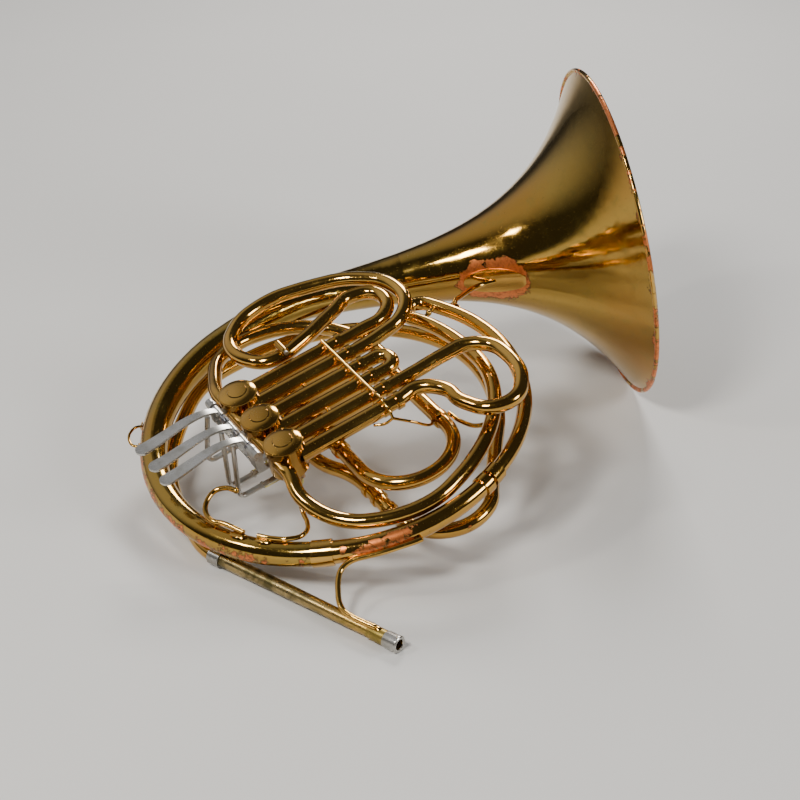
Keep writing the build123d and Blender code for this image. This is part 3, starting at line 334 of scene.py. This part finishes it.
def make_mouthpipe_brass():
    """The mouthpipe: lacquer gone, grey-green where the hand rubs it and golden by the receiver."""
    shader = Shader("mouthpipe_brass")
    cloud = shader.noise(46.0, 6.0, 0.7, distortion=0.5)
    fine = shader.noise(420.0, 4.0, 0.7)
    color = shader.mix(shader.step(cloud, 0.4, 0.62), (0.40, 0.31, 0.15, 1), (0.10, 0.085, 0.042, 1))
    color = shader.mix(shader.step(fine, 0.60, 0.78), color, (0.50, 0.43, 0.28, 1))
    golden = shader.step(shader.distance(RECEIVER_MOUTH), 0.030, 0.110, 0.85, 0.15)
    color = shader.mix(golden, color, shader.mix(shader.step(cloud, 0.4, 0.62), GOLD, OLIVE_GOLD))
    rough = shader.step(cloud, 0.3, 0.7, 0.22, 0.42)
    rough = shader.math("ADD", rough, shader.step(fine, 0.5, 0.8, 0.0, 0.12))
    shader.set(color=color, metallic=1.0, roughness=rough, normal=shader.bump(fine, 0.12, 0.0001))
    return shader.material


def make_nickel_silver():
    """Nickel silver of the keys: soft grey polish with fine hand scratches."""
    shader = Shader("nickel_silver")
    cloud = shader.noise(75.0, 5.0, 0.6)
    scratches = shader.noise(1200.0, 4.0, 0.75, stretch=(0.2, 1.0, 0.6))
    color = shader.mix(shader.step(cloud, 0.4, 0.75), (0.53, 0.515, 0.48, 1), (0.34, 0.325, 0.285, 1))
    specks = shader.step(shader.noise(620.0, 2.0, 0.5), 0.66, 0.75)
    color = shader.mix(shader.math("MULTIPLY", specks, 0.5), color, (0.2, 0.17, 0.13, 1))
    rough = shader.step(cloud, 0.3, 0.8, 0.25, 0.36)
    rough = shader.math("ADD", rough, shader.step(scratches, 0.5, 0.8, 0.0, 0.2))
    shader.set(color=color, metallic=1.0, roughness=rough, normal=shader.bump(scratches, 0.07, 0.00005))
    return shader.material


def make_spring_steel():
    """Blued wire of the return springs, browned in places."""
    shader = Shader("spring_steel")
    cloud = shader.noise(300.0, 4.0, 0.6)
    color = shader.mix(shader.step(cloud, 0.4, 0.7), (0.20, 0.20, 0.22, 1), (0.33, 0.28, 0.22, 1))
    shader.set(color=color, metallic=1.0, roughness=shader.step(cloud, 0.3, 0.8, 0.25, 0.45))
    shader.set(normal=shader.bump(cloud, 0.15, 0.0001))
    return shader.material


def make_cork():
    """Pale cork with dark pores."""
    shader = Shader("cork")
    grain = shader.noise(900.0, 5.0, 0.7)
    pores = shader.step(shader.noise(500.0, 2.0, 0.5), 0.6, 0.68)
    color = shader.mix(shader.step(grain, 0.35, 0.7), (0.52, 0.33, 0.17, 1), (0.36, 0.21, 0.10, 1))
    color = shader.mix(pores, color, (0.12, 0.065, 0.03, 1))
    shader.set(color=color, roughness=0.9, normal=shader.bump(grain, 0.5, 0.0002))
    return shader.material


def make_cord():
    """Yellow waxed cord of the string action."""
    shader = Shader("cord")
    fibre = shader.noise(3000.0, 3.0, 0.6)
    color = shader.mix(shader.step(fibre, 0.35, 0.7), (0.74, 0.66, 0.22, 1), (0.50, 0.42, 0.12, 1))
    shader.set(color=color, roughness=0.7, sheen=0.3, normal=shader.bump(fibre, 0.4, 0.0001))
    return shader.material


TUBE = make_tube_brass()
COIL_BRASS = make_coil_brass()
BELL = make_bell_brass()
RIM = make_rim_brass()
TURNED = make_cap_brass()
BARE = make_bare_brass()
MOUTHPIPE = make_mouthpipe_brass()
NICKEL = make_nickel_silver()
SPRING = make_spring_steel()
CORK = make_cork()
CORD = make_cord()

NODE_MATERIALS = {
    "bell": BELL, "rim_bead": RIM, "first_branch": COIL_BRASS, "outer_ring": COIL_BRASS,
    "branch_ferrules": TURNED, "mouthpipe": MOUTHPIPE, "receiver": NICKEL,
    "mouthpipe_ferrule": NICKEL, "lead_bands": TURNED, "tuning_sleeves": TURNED,
    "bearing_plates": TURNED, "valve_caps": TURNED, "knuckles": TURNED, "stop_plates": TURNED,
    "cork_bumpers": CORK, "lever_springs": SPRING, "hinge_rod": NICKEL, "lever_bridge": NICKEL,
    "bell_brace": TURNED, "water_key_barrel": TURNED, "water_key_button": NICKEL,
}
PREFIX_MATERIALS = (
    ("casing_", TURNED), ("rotor_", BARE), ("stop_arm_", BARE), ("slide_sleeves_", TURNED),
    ("crook_bands_", TURNED), ("lever_", NICKEL), ("string_", CORD),
)
SMOOTH_BELOW = math.radians(32.0)


def material_for(node):
    """The material of a CAD node, by its name or by how its name starts."""
    if node in NODE_MATERIALS:
        return NODE_MATERIALS[node]
    for prefix, material in PREFIX_MATERIALS:
        if node.startswith(prefix):
            return material
    return TUBE


for node_name, node_object in frame["nodes"].items():
    node_object.data.materials.clear()
    node_object.data.materials.append(material_for(node_name))


# ---------------------------------------------------------------- small fittings
def piece(name, mesh, material, body):
    """A new mesh object that rides on a body of the frame."""
    mesh.materials.append(material)
    thing = bpy.data.objects.new(name, mesh)
    bpy.context.scene.collection.objects.link(thing)
    for polygon in mesh.polygons:
        polygon.use_smooth = True
    mesh.set_sharp_from_angle(angle=SMOOTH_BELOW)
    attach(thing, body)
    return thing


def mesh_from(name, build):
    """A mesh made by build(bm)."""
    mesh = bpy.data.meshes.new(name)
    bm = bmesh.new()
    build(bm)
    bmesh.ops.recalc_face_normals(bm, faces=bm.faces)
    bm.to_mesh(mesh)
    bm.free()
    return mesh


SADDLE_HEIGHT = 0.9
SADDLE_LIFT = 0.15
SADDLE_SINK = 0.3


def saddle(bm, centre, along, out, tube_r, length, width):
    """A domed oval plate that sits on a tube: along the tube, out from its middle line."""
    along = along.normalized()
    out = (out - along * out.dot(along)).normalized()
    side = along.cross(out)
    rings, spokes = 7, 28
    top, bottom = [], []
    for ring in range(1, rings + 1):
        share = ring / rings
        swell = SADDLE_HEIGHT * math.sqrt(max(0.0, 1 - share**4))
        for rim, level in ((top, tube_r + SADDLE_LIFT + swell), (bottom, tube_r - SADDLE_SINK)):
            row = []
            for spoke in range(spokes):
                turn = 2 * math.pi * spoke / spokes
                u = share * length / 2 * math.cos(turn)
                v = share * width / 2 * math.sin(turn) / tube_r
                offset = out * (level * math.cos(v)) + side * (level * math.sin(v)) + along * u
                row.append(bm.verts.new(centre + offset * MM))
            rim.append(row)
    for rim, level in ((top, tube_r + SADDLE_LIFT + SADDLE_HEIGHT), (bottom, tube_r - SADDLE_SINK)):
        hub = bm.verts.new(centre + out * (level * MM))
        for spoke in range(spokes):
            bm.faces.new((hub, rim[0][spoke], rim[0][(spoke + 1) % spokes]))
        for inner, outer in zip(rim, rim[1:]):
            for spoke in range(spokes):
                after = (spoke + 1) % spokes
                bm.faces.new((inner[spoke], outer[spoke], outer[after], inner[after]))
    for spoke in range(spokes):
        after = (spoke + 1) % spokes
        bm.faces.new((top[-1][spoke], bottom[-1][spoke], bottom[-1][after], top[-1][after]))


def circle_angles(count):
    """Angles of a full turn in equal steps, in radians."""
    return [2 * math.pi * i / count for i in range(count)]


def screw_head(bm, centre, axis, radius, height):
    """A slotted screw head with a rounded edge: a disc with a half boss on each side of the slot."""
    axis = axis.normalized()
    across = axis.orthogonal().normalized()
    beside = axis.cross(across)
    half_slot = radius * 0.16
    disc_sides, arc_steps = 32, 20

    def boss(outline, low, high, bevel):
        levels = ((low, 1.0), (high - bevel, 1.0), (high, 1.0 - bevel / radius))
        rows = []
        for level, size in levels:
            row = [
                bm.verts.new(centre + (across * (x * size) + beside * (y * size) + axis * level) * MM)
                for x, y in outline
            ]
            rows.append(row)
        for lower, upper in zip(rows, rows[1:]):
            for i in range(len(lower)):
                j = (i + 1) % len(lower)
                bm.faces.new((lower[i], lower[j], upper[j], upper[i]))
        bm.faces.new(rows[-1])
        bm.faces.new(list(reversed(rows[0])))

    circle = [(radius * math.cos(turn), radius * math.sin(turn)) for turn in circle_angles(disc_sides)]
    boss(circle, 0.0, height * 0.55, radius * 0.02)
    limit = math.asin(half_slot / radius)
    for sign in (1, -1):
        half = []
        for i in range(arc_steps + 1):
            turn = limit + (math.pi - 2 * limit) * i / arc_steps
            half.append((radius * math.cos(turn), sign * radius * math.sin(turn)))
        boss(half, height * 0.5, height, radius * 0.14)


def cord(bm, points, radius, turns_per_mm=0.45, strands=3):
    """A laid cord: strands twisted about the line through points (in the frame, metres)."""
    sides = 6
    for strand in range(strands):
        rows = []
        travelled = 0.0
        for i, point in enumerate(points):
            before = points[max(i - 1, 0)]
            after = points[min(i + 1, len(points) - 1)]
            if i:
                travelled += (point - points[i - 1]).length / MM
            ahead = (after - before).normalized()
            right = ahead.cross(OUT_OF_COIL)
            if right.length < 0.1:
                right = ahead.cross(ALONG_SLIDES)
            right.normalize()
            up = right.cross(ahead)
            turn = 2 * math.pi * (travelled * turns_per_mm + strand / strands)
            middle = point + (right * math.cos(turn) + up * math.sin(turn)) * (radius * 0.46 * MM)
            row = []
            for side in range(sides):
                around = 2 * math.pi * side / sides
                row.append(bm.verts.new(middle + (right * math.cos(around) + up * math.sin(around))
                                        * (radius * 0.54 * MM)))
            rows.append(row)
        for lower, upper in zip(rows, rows[1:]):
            for side in range(sides):
                other = (side + 1) % sides
                bm.faces.new((lower[side], lower[other], upper[other], upper[side]))
        bm.faces.new(rows[0])
        bm.faces.new(rows[-1])


def line_points(start, end, step=0.35):
    """Places on a straight line, about step millimetres apart."""
    count = max(2, int((end - start).length / MM / step))
    return [start.lerp(end, i / count) for i in range(count + 1)]


# cords of the string action
HUB_R = 6.6
STRING_R = 0.6
STRING_Z = -6.0
STRING_START_X = -87.0
STRING_END_X = -47.5
STRING_GAP = 0.1
WRAP_TURNS = 3
WRAP_PITCH = 1.3
WRAP_STEPS = 64
WRAP_START = 0.55
for i, (valve_y, side) in enumerate(zip(VALVE_Y, STRING_SIDE)):
    string_y = valve_y + side * (HUB_R + STRING_R + STRING_GAP)
    run = line_points(at(STRING_START_X, string_y, STRING_Z), at(STRING_END_X, string_y, STRING_Z))
    straight = piece(f"cord_{i + 1}", mesh_from(f"cord_{i + 1}", lambda bm: cord(bm, run, STRING_R)),
                     CORD, f"key_{i + 1}")
    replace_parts(straight, f"string_{i + 1}")
    coil = []
    for k in range(WRAP_STEPS * WRAP_TURNS + 1):
        turn = 2 * math.pi * k / WRAP_STEPS
        drop = WRAP_PITCH * (WRAP_START + k / WRAP_STEPS)
        coil.append(at(VALVE_X + (HUB_R + STRING_R) * math.cos(turn),
                       valve_y + (HUB_R + STRING_R) * math.sin(turn), STRING_Z - drop))
    wound = piece(f"cord_wrap_{i + 1}", mesh_from(f"cord_wrap_{i + 1}", lambda bm: cord(bm, coil, STRING_R)),
                  CORD, f"valve_{i + 1}")
    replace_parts(wound, f"string_wrap_{i + 1}")

# saddles under the feet of the stays and of the strap ring: centre of the tube there, its direction,
# the direction out of it, its radius, and the length and width of the plate; without directions the
# tube runs round the coil
SADDLES = (
    ("hook_saddle", (-138.0, -79.5, 0.0), (0.5, -0.87, 0.0), (0.15, 0.25, 1.0), 11.6, 16.0, 9.0),
    ("coil_stay_saddle", (-124.0, -99.5, 0.0), (0.63, -0.78, 0.0), (0.2, 0.2, 1.0), 11.3, 15.0, 9.0),
    ("receiver_stay_saddle", (-95.4, -209.5, -20.0), (-0.35, 0.94, 0.0), (0.25, 0.1, 0.95), 6.2, 20.0, 7.0),
    ("bell_post_saddle", (150.8, 47.0, 0.5), (-0.3, 0.95, 0.0), (0.9, 0.3, -0.2), 6.5, 12.0, 9.0),
    ("strap_saddle_1", polar(143.0, 159.0, 0.0), None, None, 13.2, 8.0, 8.0),
    ("strap_saddle_2", polar(152.0, 159.0, 0.0), None, None, 12.9, 8.0, 8.0),
)
for name, centre, along, out, tube_r, length, width in SADDLES:
    if along is None:
        outward = (centre - COIL_CENTRE).normalized()
        middle, tube_way, normal = centre, OUT_OF_COIL.cross(outward), outward + OUT_OF_COIL * 0.3
    else:
        middle, tube_way, normal = at(*centre), way(*along), way(*out)
    mesh = mesh_from(name, lambda bm: saddle(bm, middle, tube_way, normal, tube_r, length, width))
    piece(name, mesh, TURNED, "horn")

# the brace between the first branch and the mouthpipe: it hugs both tubes and bends sharply between
BRACE_R = 2.35
BRACE_COURSE = (
    (-20.7, -171.8, 0.0), (-30.1, -169.8, 0.0), (-53.1, -162.6, 0.0), (-71.0, -155.0, -0.3),
    (-79.5, -153.2, -1.2), (-86.5, -154.6, -2.6), (-93.0, -160.5, -4.8), (-98.5, -168.5, -7.4),
    (-102.6, -176.5, -9.8), (-103.8, -185.0, -11.6), (-101.8, -193.5, -12.0), (-98.4, -202.5, -12.2),
    (-93.4, -214.5, -12.3),
)
BRACE_STEPS = 10


def curve_through(points, steps):
    """A smooth run of places through the points, steps between each two."""
    ends = [points[0] * 2 - points[1], *points, points[-1] * 2 - points[-2]]
    run = []
    for before, start, end, after in zip(ends, ends[1:], ends[2:], ends[3:]):
        for i in range(steps):
            t = i / steps
            square = (before * 2 - start * 5 + end * 4 - after) * t**2
            cube = (start * 3 - before - end * 3 + after) * t**3
            run.append(0.5 * (start * 2 + (end - before) * t + square + cube))
    return run + [points[-1]]


ROD_END = ((0.0, 1.0), (0.2, 0.95), (0.45, 0.75), (0.6, 0.3))


def round_rod(bm, points, radius, spokes=20):
    """A rod along the points; ROD_END rounds both ends, as places and sizes in rod radii."""
    rows = []
    side = (points[1] - points[0]).orthogonal().normalized()
    for i, point in enumerate(points):
        ahead = (points[min(i + 1, len(points) - 1)] - points[max(i - 1, 0)]).normalized()
        side = (side - ahead * side.dot(ahead)).normalized()
        beside = ahead.cross(side)
        levels = ROD_END[:1]
        if i == 0:
            levels = [(-forward, size) for forward, size in reversed(ROD_END)]
        elif i == len(points) - 1:
            levels = ROD_END
        for forward, size in levels:
            middle = point + ahead * (forward * radius * MM)
            rows.append([bm.verts.new(middle + (side * math.cos(turn) + beside * math.sin(turn))
                                      * (size * radius * MM)) for turn in circle_angles(spokes)])
    for lower, upper in zip(rows, rows[1:]):
        for k in range(spokes):
            j = (k + 1) % spokes
            bm.faces.new((lower[k], lower[j], upper[j], upper[k]))
    bm.faces.new(rows[0])
    bm.faces.new(rows[-1])


brace_run = curve_through([at(*place) for place in BRACE_COURSE], BRACE_STEPS)
brace_mesh = mesh_from("mouthpipe_brace_rod", lambda bm: round_rod(bm, brace_run, BRACE_R))
brace = piece("mouthpipe_brace_rod", brace_mesh, TURNED, "horn")
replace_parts(brace, "mouthpipe_brace")

# the mouthpiece receiver, a brass sleeve and a ferrule with a rolled lip: places from the mouth, and radii
LIP_PROFILE = (
    (0.9, 4.25), (0.25, 4.7), (-0.05, 5.5), (0.15, 6.4), (0.8, 7.05), (1.7, 7.2), (2.6, 6.95), (3.2, 6.8),
    (12.6, 6.8), (13.4, 6.55), (13.4, 5.2), (3.0, 5.2), (1.6, 4.6),
)
SLEEVE_PROFILE = (
    (1.2, 4.2), (1.2, 5.15), (13.0, 5.15), (13.0, 6.25), (29.0, 6.1), (30.0, 5.85), (30.0, 5.3), (21.6, 5.3),
    (21.5, 4.2),
)


def turned_ring(bm, centre, axis, profile, spokes=56):
    """A closed profile of places along the axis and radii, in millimetres, turned about the axis."""
    side = axis.orthogonal().normalized()
    beside = axis.cross(side)
    rows = []
    for along, radius in profile:
        spoke_ways = [side * math.cos(turn) + beside * math.sin(turn) for turn in circle_angles(spokes)]
        rows.append([bm.verts.new(centre + (axis * along + spoke * radius) * MM) for spoke in spoke_ways])
    for lower, upper in zip(rows, rows[1:] + rows[:1]):
        for k in range(spokes):
            j = (k + 1) % spokes
            bm.faces.new((lower[k], lower[j], upper[j], upper[k]))


for name, profile, material, slot in (
    ("receiver_lip", LIP_PROFILE, NICKEL, "nickel_silver"),
    ("receiver_sleeve", SLEEVE_PROFILE, MOUTHPIPE, "lacquered_brass"),
):
    mesh = mesh_from(name, lambda bm: turned_ring(bm, RECEIVER_MOUTH, RECEIVER_WAY, profile))
    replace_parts(piece(name, mesh, material, "horn"), "receiver")

# screws: on the hinge block, under the stop plates and on the string lugs
HINGE_X, HINGE_Z = -90.0, 44.0
BLOCK_TOP = HINGE_Z + 4.2
BLOCK_SCREW_Y = (-38.0, 35.8)


def make_block_screws(bm):
    """The screws on top of the hinge's block."""
    for y in BLOCK_SCREW_Y:
        screw_head(bm, at(HINGE_X, y, BLOCK_TOP), OUT_OF_COIL, 1.7, 0.9)


piece("hinge_screws", mesh_from("hinge_screws", make_block_screws), NICKEL, "horn")

STOP_PLATE_BOTTOM = 7.2
PLATE_SCREW_Z = STOP_PLATE_BOTTOM + 0.1
PLATE_SCREW_REACH = 11.5


def make_plate_screws(bm):
    """The screws under the stop plates."""
    for valve_y, side in zip(VALVE_Y, STRING_SIDE):
        for x, y in ((PLATE_SCREW_REACH, side * 3.0), (2.0, side * PLATE_SCREW_REACH)):
            screw_head(bm, at(VALVE_X + x, valve_y + y, PLATE_SCREW_Z), -OUT_OF_COIL, 1.5, 0.8)


piece("stop_plate_screws", mesh_from("stop_plate_screws", make_plate_screws), BARE, "horn")

BAR_BESIDE_STRING = 4.2
BAR_BESIDE_HUB = HUB_R + STRING_R + STRING_GAP + BAR_BESIDE_STRING
LUG_SCREW_OUT = BAR_BESIDE_HUB + 2.6
LUG_SCREW_X = (HINGE_X + 3.0, VALVE_X + 16.0)


def lug_screws(bm, valve_y, side):
    """The two screws that hold a string's ends to the side of its bar."""
    for x in LUG_SCREW_X:
        screw_head(bm, at(x, valve_y + side * LUG_SCREW_OUT, STRING_Z), way(0, side, 0), 1.4, 0.9)


for i, (valve_y, side) in enumerate(zip(VALVE_Y, STRING_SIDE)):
    name = f"string_screws_{i + 1}"
    piece(name, mesh_from(name, lambda bm: lug_screws(bm, valve_y, side)), NICKEL,
          f"key_{i + 1}")

for node_object in frame["nodes"].values():
    for polygon in node_object.data.polygons:
        polygon.use_smooth = True
    node_object.data.set_sharp_from_angle(angle=SMOOTH_BELOW)


# ---------------------------------------------------------------- floor, light, camera
FLOOR_SIZE = 14.0
FLOOR_COLOR = (0.62, 0.61, 0.59, 1)
FLOOR_PALER = (0.66, 0.65, 0.63, 1)


def make_floor():
    """A plain pale floor, a little uneven in tone."""
    mesh = bpy.data.meshes.new("floor")
    half = FLOOR_SIZE / 2
    corners = [(-half, -half, 0), (half, -half, 0), (half, half, 0), (-half, half, 0)]
    mesh.from_pydata(corners, [], [(0, 1, 2, 3)])
    floor = bpy.data.objects.new("floor", mesh)
    bpy.context.scene.collection.objects.link(floor)
    shader = Shader("floor")
    tone = shader.noise(3.0, 3.0, 0.5)
    shader.set(color=shader.mix(tone, FLOOR_COLOR, FLOOR_PALER), roughness=0.75)
    mesh.materials.append(shader.material)


LIGHT_TARGET = Vector((0.0, 0.0, 0.1))
WARM = (1.0, 0.97, 0.92)


def make_light(name, place, size, power, color=(1.0, 1.0, 1.0)):
    """A soft square light that faces the horn."""
    data = bpy.data.lights.new(name, "AREA")
    data.size = size
    data.energy = power
    data.color = color
    light = bpy.data.objects.new(name, data)
    light.location = place
    light.rotation_euler = (LIGHT_TARGET - Vector(place)).to_track_quat("-Z", "Y").to_euler()
    bpy.context.scene.collection.objects.link(light)


GLOW_WAY = (-0.70, 0.42, 0.58)
GLOW_EDGE = 0.72
GLOW_STRENGTH = 0.62
DARK_STRENGTH = 0.05


def make_world():
    """A dim surround with one broad soft glow high on the left."""
    world = bpy.data.worlds.new("studio")
    world.use_nodes = True
    tree = world.node_tree
    background = tree.nodes["Background"]
    background.inputs["Color"].default_value = (0.95, 0.96, 1.0, 1)
    around = tree.nodes.new("ShaderNodeTexCoord")
    toward = tree.nodes.new("ShaderNodeVectorMath")
    toward.operation = "DOT_PRODUCT"
    toward.inputs[1].default_value = GLOW_WAY
    glow = tree.nodes.new("ShaderNodeMapRange")
    glow.interpolation_type = "SMOOTHSTEP"
    glow.inputs["From Min"].default_value = GLOW_EDGE
    glow.inputs["From Max"].default_value = 1.0
    glow.inputs["To Min"].default_value = DARK_STRENGTH
    glow.inputs["To Max"].default_value = GLOW_STRENGTH
    tree.links.new(around.outputs["Generated"], toward.inputs[0])
    tree.links.new(toward.outputs["Value"], glow.inputs["Value"])
    tree.links.new(glow.outputs["Result"], background.inputs["Strength"])
    bpy.context.scene.world = world


CAMERA_IN_COIL = (-414.4, -1122.3, 1064.0)
CAMERA_RIGHT = (0.8344, -0.5228, -0.1743)
CAMERA_UP = (0.4675, 0.5040, 0.7262)
LENS = 84.24
SENSOR_WIDTH = 36.0


def make_camera():
    """The camera of the photo."""
    data = bpy.data.cameras.new("camera")
    data.lens = LENS
    data.sensor_width = SENSOR_WIDTH
    camera = bpy.data.objects.new("camera", data)
    right = way(*CAMERA_RIGHT)
    up = way(*CAMERA_UP)
    up = (up - right * up.dot(right)).normalized()
    turned = Matrix((right, up, right.cross(up))).transposed().to_4x4()
    turned.translation = at(*CAMERA_IN_COIL)
    camera.matrix_world = turned
    bpy.context.scene.collection.objects.link(camera)
    bpy.context.scene.camera = camera


make_floor()
make_world()
make_light("key_light", (-1.0, -1.5, 1.9), 0.5, 50.0, WARM)
make_light("side_light", (-1.5, -0.6, 1.5), 0.22, 9.0, WARM)
make_light("fill_light", (1.7, -0.9, 1.2), 0.6, 22.0)
make_light("back_light", (0.2, 1.9, 1.6), 0.7, 42.0, (1.0, 0.98, 0.95))
make_camera()
bpy.context.scene.view_settings.view_transform = "AgX"
